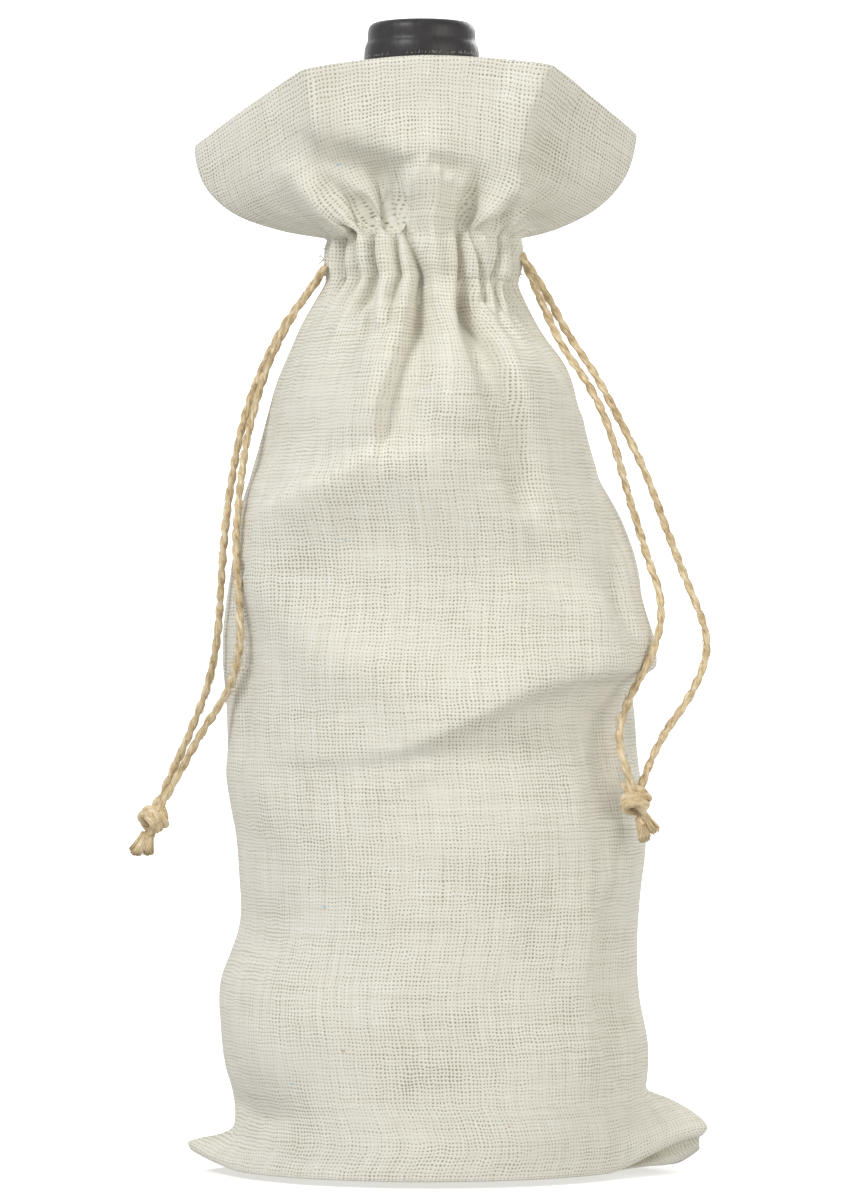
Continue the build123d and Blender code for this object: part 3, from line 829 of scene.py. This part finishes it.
def grained(name, dark, light, roughness, size, distance, **more):
    """A skin with a fine grain between two close colours, and a little relief."""
    made, tree, surface = material(name)
    place = tree.nodes.new("ShaderNodeTexCoord").outputs["Object"]
    grain = noise_of(tree, place, size, (1, 1, 1), 3.0, 0.6)
    colour = ramp_of(tree, grain, [(0.35, dark), (0.65, light)])
    tree.links.new(colour, surface.inputs["Base Color"])
    surface.inputs["Roughness"].default_value = roughness
    for key, value in more.items():
        surface.inputs[key.replace("_", " ")].default_value = value
    if distance:
        bumped(tree, surface, grain, distance, 0.6)
    return made


def capsule_foil():
    """Charcoal shrink foil: a satin skin with a faint drag in it."""
    made, tree, surface = material("capsule_foil")
    calc = partial(math_node, tree)
    place = tree.nodes.new("ShaderNodeTexCoord").outputs["Object"]
    grain = noise_of(tree, place, 900, (1, 1, 0.4), 3.0, 0.6)
    colour = ramp_of(tree, grain, [(0.3, (0.020, 0.018, 0.0195)), (0.7, (0.031, 0.0275, 0.030))])
    tree.links.new(colour, surface.inputs["Base Color"])
    rough = calc("MULTIPLY_ADD", grain, 0.12, 0.36)
    tree.links.new(rough, surface.inputs["Roughness"])
    surface.inputs["Specular IOR Level"].default_value = 0.45
    broad = noise_of(tree, place, 120, (1, 1, 0.5), 2.0)
    relief = calc("ADD", grain, calc("MULTIPLY", broad, 3.0))
    bumped(tree, surface, relief, 0.00012, 0.8)
    return made


# The bag

def widths_round(places):
    """The width of cloth shown round each row: near the flat cloth's own, less where the
    gathers hide some of it."""
    step = np.roll(places, -1, axis=1) - places
    width = np.linalg.norm(step, axis=2).sum(axis=1)
    smooth = np.convolve(np.pad(width, 6, mode="edge"), np.ones(13) / 13, mode="valid")
    return 0.1 * 2 * FLAT_WIDTH + 0.9 * smooth


def build_cloth(places, along):
    """The bag's cloth, all one piece."""
    bag = link("muslin_bag", grid_mesh("muslin_bag", places, True, along, widths_round(places)))
    shade_smooth(bag)
    bag.data.materials.append(muslin())
    smooth = bag.modifiers.new("Subdivision", "SUBSURF")
    smooth.levels = smooth.render_levels = 1
    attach(bag, "bag")
    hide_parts("front_panel", "back_panel", "front_facing", "back_facing",
                "left_side_seam", "right_side_seam", "bottom_seam")
    return bag


def resampled(path, step):
    """The same path with its points evenly spaced."""
    path = np.array(path, float)
    run = run_along(path)
    return places_at(path, run, np.linspace(0, run[-1], max(int(round(run[-1] / step)), 2) + 1))


def frames_along(path):
    """Unit vectors ahead, to the side and up, carried along a path without twist."""
    ahead = np.gradient(path, axis=0)
    ahead /= np.linalg.norm(ahead, axis=1)[:, None] + 1e-12
    side = np.cross(ahead[0], (0.31, 0.9, 0.23))
    sides = []
    for way in ahead:
        side = side - way * (side @ way)
        side = side / np.linalg.norm(side)
        sides.append(side)
    sides = np.array(sides)
    return ahead, sides, np.cross(ahead, sides)


class Strands:
    """Collects tubes, then makes one mesh of them, with a UV map along and round them."""

    def __init__(self):
        self.points, self.faces, self.uvs, self.count = [], [], [], 0

    def add(self, path, radii, sides):
        path = np.asarray(path, float)
        _, side, up = frames_along(path)
        turn = np.linspace(0, 2 * math.pi, sides, endpoint=False)
        radii = np.broadcast_to(np.asarray(radii, float), (len(path),))
        ring = (side[:, None] * np.cos(turn)[None, :, None]
                + up[:, None] * np.sin(turn)[None, :, None])
        self.points.append((path[:, None] + ring * radii[:, None, None]).reshape(-1, 3))
        rows = len(path)
        index = np.arange(rows * sides).reshape(rows, sides) + self.count
        nxt = np.roll(index, -1, axis=1)
        quads = np.stack([index[:-1], nxt[:-1], nxt[1:], index[1:]], -1).reshape(-1, 4)
        self.faces += quads.tolist()
        self.faces += [index[0][::-1].tolist(), index[-1].tolist()]
        run = run_along(path)
        round_u = np.arange(sides + 1) / sides
        long_v = run / 0.002 + self.count * 0.37 % 40
        shape = (rows - 1, sides, 4)
        u = np.broadcast_to(np.stack([round_u[:-1], round_u[1:], round_u[1:], round_u[:-1]], -1),
                            shape)
        v = np.broadcast_to(np.stack([long_v[:-1], long_v[:-1], long_v[1:], long_v[1:]], -1)
                            [:, None], shape)
        self.uvs.append(np.stack([u, v], -1).reshape(-1, 2))
        self.uvs.append(np.tile([0.5, long_v[0]], (2 * sides, 1)))
        self.count += rows * sides

    def build(self, name, skin):
        mesh = bpy.data.meshes.new(name)
        mesh.from_pydata(np.concatenate(self.points).tolist(), [], self.faces)
        uv = mesh.uv_layers.new(name="along")
        uv.data.foreach_set("uv", np.concatenate(self.uvs).reshape(-1))
        mesh.update()
        obj = link(name, mesh)
        shade_smooth(obj)
        mesh.materials.append(skin)
        return obj


PLY_PITCH = 0.0090  # one turn of the twist
PLY_OFFSET = 0.00037  # of a ply's middle from the cord's
PLY_RADIUS = 0.00075
PLY_STEP = 0.0004  # between a ply's rings
CORD_HAIRS, KNOT_HAIRS = 2600, 3500  # loose fibres in a metre
END_FIBRES, END_HAIRS = 120, 26  # in each cut end, and loose at both together


def twisted(strands, path, chance, start=0.0, thick=1.0):
    """Two plies laid round a path, uneven as hand-spun jute is."""
    path = resampled(path, PLY_STEP)
    _, side, up = frames_along(path)
    run = np.arange(len(path)) * PLY_STEP
    sway = np.cumsum(chance.normal(0, 0.02, len(path)))
    for ply in range(2):
        turn = start - 2 * math.pi * run / PLY_PITCH + math.pi * ply + sway
        wander = 1 + 0.10 * np.sin(run / 0.0031 + ply * 2.1) + 0.07 * np.sin(run / 0.0013 + ply)
        centre = path + thick * PLY_OFFSET * wander[:, None] * (
            side * np.cos(turn)[:, None] + up * np.sin(turn)[:, None])
        swell = 1 + 0.07 * np.sin(run / 0.0022 + 4 * ply) + 0.05 * np.sin(run / 0.0009 + ply)
        strands.add(centre, thick * PLY_RADIUS * swell, 8)


def hair(strands, root, way, length, radius, chance):
    """One loose fibre, bending as it leaves."""
    way = np.array(way, float) / (np.linalg.norm(way) + 1e-12)
    bend = chance.normal(0, 1, 3)
    bend -= way * (bend @ way)
    steps = np.linspace(0, 1, 5)[:, None]
    path = np.array(root) + way * length * steps + bend * length * 0.175 * steps**2
    strands.add(path, np.linspace(radius, radius * 0.5, 5), 3)


def hairs_on(strands, path, per_metre, chance):
    """Loose fibres that leave a cord along its path, mostly along it."""
    step = 0.0005
    path = resampled(path, step)
    ahead, side, up = frames_along(path)
    length = len(path) * step
    for _ in range(int(per_metre * length)):
        i = chance.integers(1, len(path) - 1)
        turn = chance.uniform(0, 2 * math.pi)
        out = side[i] * math.cos(turn) + up[i] * math.sin(turn)
        way = out * chance.uniform(0.15, 0.8) + ahead[i] * chance.choice([-1, 1])
        root = path[i] + out * 0.0009
        hair(strands, root, way, chance.uniform(0.0008, 0.0026), 0.00006, chance)


# The loose cords' routes in millimetres, from the casing to the knot
ROUTES = {
    "left_front": [
        (-25.2, -2.6, 237.6), (-29.5, -2.2, 231.5), (-35.2, -1.4, 223.0), (-41.0, -1.6, 211.0),
        (-45.6, -4.5, 195.0), (-48.0, -10.5, 177.0), (-48.6, -17.0, 161.5),
        (-47.2, -21.6, 148.5), (-46.9, -21.2, 136.5), (-50.6, -15.6, 125.0),
        (-58.2, -8.0, 114.5), (-65.0, -6.6, 101.5), (-70.7, -6.4, 91.8),
    ],
    "left_back": [
        (-25.2, 2.6, 237.6), (-29.9, 2.0, 231.0), (-36.0, 1.6, 223.2), (-42.6, 1.6, 210.5),
        (-47.8, -1.6, 195.0), (-50.6, -7.6, 177.0), (-52.2, -12.0, 161.0),
        (-52.6, -13.2, 147.0), (-54.2, -10.4, 134.0), (-57.2, -6.4, 123.5),
        (-62.2, -4.2, 112.0), (-67.8, -3.8, 99.5), (-70.7, -4.0, 91.8),
    ],
    "right_back": [
        (26.2, 2.6, 241.0), (31.6, 2.2, 233.5), (38.2, 1.0, 220.5), (46.4, -0.6, 208.5),
        (53.2, -1.2, 195.5), (60.2, -1.6, 181.0), (65.6, -2.4, 165.0), (71.6, -3.6, 150.5),
        (76.0, -5.6, 138.5), (72.0, -9.4, 126.5), (63.6, -14.6, 115.5), (58.4, -19.6, 105.5),
        (55.6, -22.8, 97.1),
    ],
    "right_front": [
        (26.2, -2.6, 241.0), (30.2, -3.6, 231.5), (36.4, -2.8, 217.0), (44.6, -3.4, 206.0),
        (50.2, -4.2, 193.0), (54.2, -6.0, 177.5), (58.8, -8.0, 162.5), (63.6, -10.8, 148.0),
        (60.6, -15.4, 135.5), (54.0, -21.4, 125.0), (50.4, -25.4, 114.0),
        (53.4, -26.6, 104.5), (55.6, -25.2, 97.1),
    ],
}


def spline_path(name, route):
    """The points that a smooth spline of a route passes, in metres."""
    curve = bpy.data.curves.new(name, "CURVE")
    curve.dimensions = "3D"
    spline = curve.splines.new("NURBS")
    spline.points.add(len(route) - 1)
    for point, place in zip(spline.points, route):
        point.co = (place[0] * MM, place[1] * MM, place[2] * MM, 1)
    spline.order_u = 3
    spline.use_endpoint_u = True
    spline.resolution_u = 16
    obj = bpy.data.objects.new(name, curve)
    bpy.context.scene.collection.objects.link(obj)
    bpy.context.view_layer.update()
    mesh = bpy.data.meshes.new_from_object(obj)
    points = np.array([v.co[:] for v in mesh.vertices])
    bpy.data.objects.remove(obj)
    bpy.data.meshes.remove(mesh)
    return points


def turned(points, lean):
    """Points drawn with -Z ahead, turned so that ahead is the lean."""
    turn = Vector((0, 0, -1)).rotation_difference(Vector(lean))
    return np.array([turn @ Vector(p) for p in points])


def knot_path(offset, squeeze):
    """An overhand knot's turns, in millimetres round its middle, ahead being down."""
    turns = [
        (0, 0, 6.0), (0.3, -0.5, 3.6), (1.3, -1.9, 1.7), (2.5, -0.9, -0.4), (1.5, 1.5, -1.7),
        (-1.2, 1.7, -1.0), (-2.6, 0.1, 0.6), (-1.5, -1.9, 1.5), (0.9, -2.2, 0.2),
        (1.6, -0.6, -1.9), (0.5, 0.5, -3.1), (0.1, 0.2, -4.6), (0, 0, -6.0),
    ]
    dx, dy, dz = offset
    return [(x * squeeze + dx, y * squeeze + dy, z + dz * min(1, abs(6 - abs(z)) / 3))
            for x, y, z in turns]


def smooth_path(points, steps=10):
    """A rounded path through points."""
    points = np.array(points, float)
    run = np.arange(len(points))
    want = np.linspace(0, len(points) - 1, (len(points) - 1) * steps + 1)
    return np.stack([through(list(zip(run, points[:, k])))(want) for k in range(3)], axis=1)


KNOT_LEANS = {"left": (-0.35, 0.0, -1.0), "right": (0.42, 0.0, -1.0)}


def build_tails(side, skin, seed):
    """One side's two cords, with the knot that joins them and the cut ends below it."""
    chance = np.random.default_rng(seed)
    body = side + "_tails"
    cords, paths = [], {}
    for place in ("front", "back"):
        name = side + "_" + place
        path = spline_path(name, ROUTES[name])
        paths[place] = path
        strands = Strands()
        twisted(strands, path, chance, chance.uniform(0, 6))
        hairs_on(strands, path, CORD_HAIRS, chance)
        cord = strands.build(name + "_cord", skin)
        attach(cord, body)
        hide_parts(name + "_strand")
        cords.append(cord)
    middle = (paths["front"][-1] + paths["back"][-1]) / 2
    lean = Vector(KNOT_LEANS[side]).normalized()
    strands = Strands()
    for offset, squeeze in (((0.55, 0.5, 0.9), 1.12), ((-0.55, -0.5, -0.7), 0.98)):
        turns = turned(smooth_path(knot_path(offset, squeeze)), lean) * MM + middle
        twisted(strands, turns, chance, chance.uniform(0, 6), 1.12)
    hairs_on(strands, turns, KNOT_HAIRS, chance)
    knot = strands.build(side + "_overhand_knot", skin)
    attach(knot, body)
    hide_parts(side + "_knot")

    strands = Strands()
    for aside, longest in ((1, 5.4), (-1, 6.6)):
        for _ in range(END_FIBRES):
            turn, out = chance.uniform(0, 2 * math.pi), math.sqrt(chance.uniform(0, 1))
            start = np.array([math.cos(turn), math.sin(turn)]) * out
            finish = start * 1.75 + [aside * 1.5, aside * 0.4] + chance.normal(0, 0.12, 2)
            start = start * 0.95 + [aside * 0.7, 0]
            length = longest - out**2 + chance.normal(0, 0.2)
            steps = np.linspace(0, 1, 7)[:, None]
            sway = start + (finish - start) * steps**1.2
            fibre = np.hstack([sway, -3.6 - length * steps])
            fibre = turned(fibre, lean) * MM + middle
            strands.add(fibre, chance.uniform(0.00018, 0.00028), 5)
    for _ in range(END_HAIRS):
        root = turned([(chance.normal(0, 1), chance.normal(0, 1), -8)], lean)[0] * MM + middle
        way = np.array(lean) + chance.normal(0, 0.5, 3)
        hair(strands, root, way, chance.uniform(0.001, 0.003), 0.00005, chance)
    frayed = strands.build(side + "_cut_ends", skin)
    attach(frayed, body)
    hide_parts(side + "_frayed_end")


def build_cords_in_casing(skin):
    """Each cord's loop through the casing, out again at its own side."""
    chance = np.random.default_rng(5)
    turn = np.radians(np.linspace(8, 352, 90))
    for side, sign, level in (("left", -1, 240.7), ("right", 1, 238.5)):
        exit_height = ROUTES[side + "_front"][0][2]
        painted_shade_falloff = 16.7 + 8.6 * np.clip(np.cos(turn), 0, 1) ** 24
        x = sign * np.cos(turn) * painted_shade_falloff + 0.5
        y = -np.sin(turn) * 16.9 * np.where(np.cos(turn) > 0.8, 0.95, 1)
        near = np.clip(np.cos(turn), 0, 1) ** 4
        z = near * exit_height + (1 - near) * level
        path = np.stack([x, y, z], axis=1) * MM
        strands = Strands()
        twisted(strands, path, chance)
        loop = strands.build(side + "_casing_cord", skin)
        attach(loop, "bag")
        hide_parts(side + "_cord_in_casing")


def build_stitching(places, row, name, node, thread):
    """A row of running stitches that follows the pleats, just on the cloth."""
    line = places[row]
    out = normals(places[row - 1:row + 2])[1]
    closed = np.vstack([line + out * 0.00012, (line + out * 0.00012)[:1]])
    path = resampled(closed, 0.0006)
    strands = Strands()
    for start in range(0, len(path) - 4, 5):
        stitch = path[start:start + 4].copy()
        strands.add(stitch, [0.00008, 0.00017, 0.00017, 0.00008], 5)
    seam = strands.build(name, thread)
    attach(seam, "bag")
    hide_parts(node)


def build_loose_threads(places, marks, skin):
    """Cut yarn ends where the cords leave the side seams, and fuzz along the mouth's fold."""
    chance = np.random.default_rng(8)
    strands = Strands()
    for column, away in ((0, -1), (COLUMNS // 2, 1)):
        for row in (marks["casing"] + 1, marks["casing"] + 4, marks["casing"] + 6):
            for _ in range(5):
                root = places[row, (column + chance.integers(-2, 3)) % COLUMNS]
                way = (away * chance.uniform(0.4, 1), chance.normal(-0.2, 0.5),
                       chance.normal(-0.1, 0.7))
                hair(strands, root, way, chance.uniform(0.0012, 0.0036), 0.00014, chance)
    edge = places[marks["edge"]]
    for _ in range(420):
        spot = chance.uniform(0, COLUMNS)
        i, share = int(spot) % COLUMNS, spot % 1
        root = edge[i] * (1 - share) + edge[(i + 1) % COLUMNS] * share
        way = (chance.normal(0, 0.7), chance.normal(0, 0.5), 0.8)
        hair(strands, root, way, chance.uniform(0.0003, 0.0011), 0.00003, chance)
    loose = strands.build("loose_threads", skin)
    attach(loose, "bag")
    return loose


# The bottle

def build_capsule():
    """The foil over the neck: it steps in below its rounded top and swells over the lip."""
    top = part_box("capsule")[1].z / MM
    profile = [
        (0, 0), (6, 0), (11, -0.03), (12.8, -0.25), (13.7, -0.9), (14.15, -1.9),
        (14.25, -3.2), (14.25, -4.9), (14.45, -5.5), (14.85, -6.2), (15.12, -7.4),
        (15.25, -9.4), (15.25, -13), (15.1, -17), (14.8, -18.5), (14.55, -20), (14.5, -40),
        (14.5, -57.8), (14.3, -57.8), (14.3, -40), (14.3, -20),
    ]
    turns = 96
    turn = np.linspace(0, 2 * math.pi, turns, endpoint=False)
    rings = np.array([
        np.stack([r * np.cos(turn), r * np.sin(turn), np.full(turns, top + drop)], axis=1)
        for r, drop in profile
    ])
    capsule = link("neck_capsule", grid_mesh("neck_capsule", rings[::-1] * MM))
    shade_smooth(capsule)
    capsule.data.materials.append(capsule_foil())
    smooth = capsule.modifiers.new("Subdivision", "SUBSURF")
    smooth.levels = smooth.render_levels = 2
    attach(capsule, "bottle")
    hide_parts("capsule")


def dress(node, skin):
    """Gives a carried-over CAD node its skin."""
    obj = bpy.data.objects[node]
    obj.data.materials.clear()
    obj.data.materials.append(skin)


def cork_skin():
    """Pressed cork with dark pores."""
    made, tree, surface = material("cork_skin")
    place = tree.nodes.new("ShaderNodeTexCoord").outputs["Object"]
    grain = noise_of(tree, place, 420, (1, 1, 0.5), 5.0, 0.65)
    colour = ramp_of(tree, grain, [
        (0.32, (0.16, 0.085, 0.04)), (0.42, (0.46, 0.29, 0.16)), (0.7, (0.62, 0.43, 0.26)),
    ])
    tree.links.new(colour, surface.inputs["Base Color"])
    surface.inputs["Roughness"].default_value = 0.85
    bumped(tree, surface, grain, 0.0004, 0.8)
    return made


# The studio

WORLD_STRENGTH = 0.60
# Each light's name, place, size, power in watts and colour
LIGHTS = [
    ("key", (-0.95, -1.10, 1.35), 0.5, 15.5, (1, 1, 1)),
    ("fill", (1.2, -1.2, 0.45), 1.0, 8.5, (1, 0.95, 0.84)),
    ("behind", (0.9, 1.5, 1.0), 0.8, 9, (1, 1, 1)),
]


def glowing(name, strength):
    """White paper, lit from behind as well."""
    made, tree, surface = material(name)
    surface.inputs["Base Color"].default_value = (0.9, 0.9, 0.9, 1)
    surface.inputs["Specular IOR Level"].default_value = 0.0
    surface.inputs["Emission Color"].default_value = (1, 1, 1, 1)
    surface.inputs["Emission Strength"].default_value = strength
    return made, tree, surface


def glowing_floor():
    """Paper whose glow fades near the bag: a painted shade round it, over the real contact
    shadow.
    """
    made, tree, surface = glowing("floor", 0)
    surface.inputs["Roughness"].default_value = 0.9
    place = tree.nodes.new("ShaderNodeTexCoord").outputs["Object"]
    mapping = tree.nodes.new("ShaderNodeMapping")
    mapping.inputs["Scale"].default_value = (1 / 0.070, 1 / 0.048, 0)
    tree.links.new(place, mapping.inputs["Vector"])
    length = tree.nodes.new("ShaderNodeVectorMath")
    length.operation = "LENGTH"
    tree.links.new(mapping.outputs["Vector"], length.inputs[0])
    # painted shade: the glow is weaker in an oval round the bag and full further out
    painted_shade_falloff = tree.nodes.new("ShaderNodeMapRange")
    for name, value in (("From Min", 0.9), ("From Max", 1.7), ("To Min", 0.34), ("To Max", 0.85)):
        painted_shade_falloff.inputs[name].default_value = value
    tree.links.new(length.outputs["Value"], painted_shade_falloff.inputs["Value"])
    tree.links.new(painted_shade_falloff.outputs["Result"], surface.inputs["Emission Strength"])
    return made


def build_stage():
    """The floor, the sky and the lights."""
    floor = link("floor", grid_mesh("floor", np.array([
        [[-9, -4, -0.0012], [9, -4, -0.0012]], [[-9, 14, -0.0012], [9, 14, -0.0012]],
    ], float), close=False))
    floor.data.materials.append(glowing_floor())
    floor.visible_diffuse = False
    world = bpy.data.worlds.new("studio")
    world.use_nodes = True
    world.node_tree.nodes["Background"].inputs["Color"].default_value = (1, 1, 1, 1)
    world.node_tree.nodes["Background"].inputs["Strength"].default_value = WORLD_STRENGTH
    bpy.context.scene.world = world
    for name, place, size, power, colour in LIGHTS:
        light = bpy.data.lights.new(name, "AREA")
        light.size = size
        light.energy = power
        light.color = colour
        lamp = bpy.data.objects.new(name, light)
        bpy.context.scene.collection.objects.link(lamp)
        lamp.location = place
        aim = Vector((0, 0, 0.14)) - lamp.location
        lamp.rotation_euler = aim.to_track_quat("-Z", "Y").to_euler()


def build_backdrop():
    """A white wall far behind."""
    wall = link("backdrop", grid_mesh("backdrop", np.array([
        [[-9, 9, -2], [9, 9, -2]], [[-9, 9, 8], [9, 9, 8]],
    ], float), close=False))
    wall.data.materials.append(glowing("backdrop", 1.1)[0])
    wall.visible_diffuse = False


def build_camera():
    """A long lens in front of the bag, level."""
    view = bpy.data.cameras.new("camera")
    view.lens = 150
    view.sensor_width = 36
    camera = bpy.data.objects.new("camera", view)
    bpy.context.scene.collection.objects.link(camera)
    camera.location = (0.0009, -1.320, 0.1497)
    camera.rotation_euler = (math.radians(90), 0, 0)
    bpy.context.scene.camera = camera


cloth_places, cloth_along, cloth_marks = designed_cloth()
bag = build_cloth(cloth_places, cloth_along)
yarn = grained("yarn_ends", (0.70, 0.66, 0.55), (0.86, 0.84, 0.76), 0.9, 900, 0.0001)
thread = grained("sewing_thread", (0.74, 0.72, 0.64), (0.86, 0.84, 0.77), 0.7, 1500, 0.00008)
build_stitching(cloth_places, cloth_marks["casing"], "lower_stitches",
                "casing_lower_stitching", thread)
build_stitching(cloth_places, cloth_marks["ruffle"], "upper_stitches",
                "casing_upper_stitching", thread)
loose_threads = build_loose_threads(cloth_places, cloth_marks, yarn)
jute_skin = jute()
build_cords_in_casing(jute_skin)
build_tails("left", jute_skin, 21)
build_tails("right", jute_skin, 34)
build_capsule()
dress("cork", cork_skin())
dress("wine", grained("red_wine", (0.040, 0.002, 0.008), (0.050, 0.003, 0.012), 0.08, 60, 0))
dress("bottle_glass", grained("green_glass", (0.045, 0.12, 0.06), (0.055, 0.14, 0.075), 0.06,
                              40, 0.0002, Transmission_Weight=0.85, IOR=1.5))
build_stage()
build_backdrop()
build_camera()
bpy.context.scene.view_settings.view_transform = "Standard"
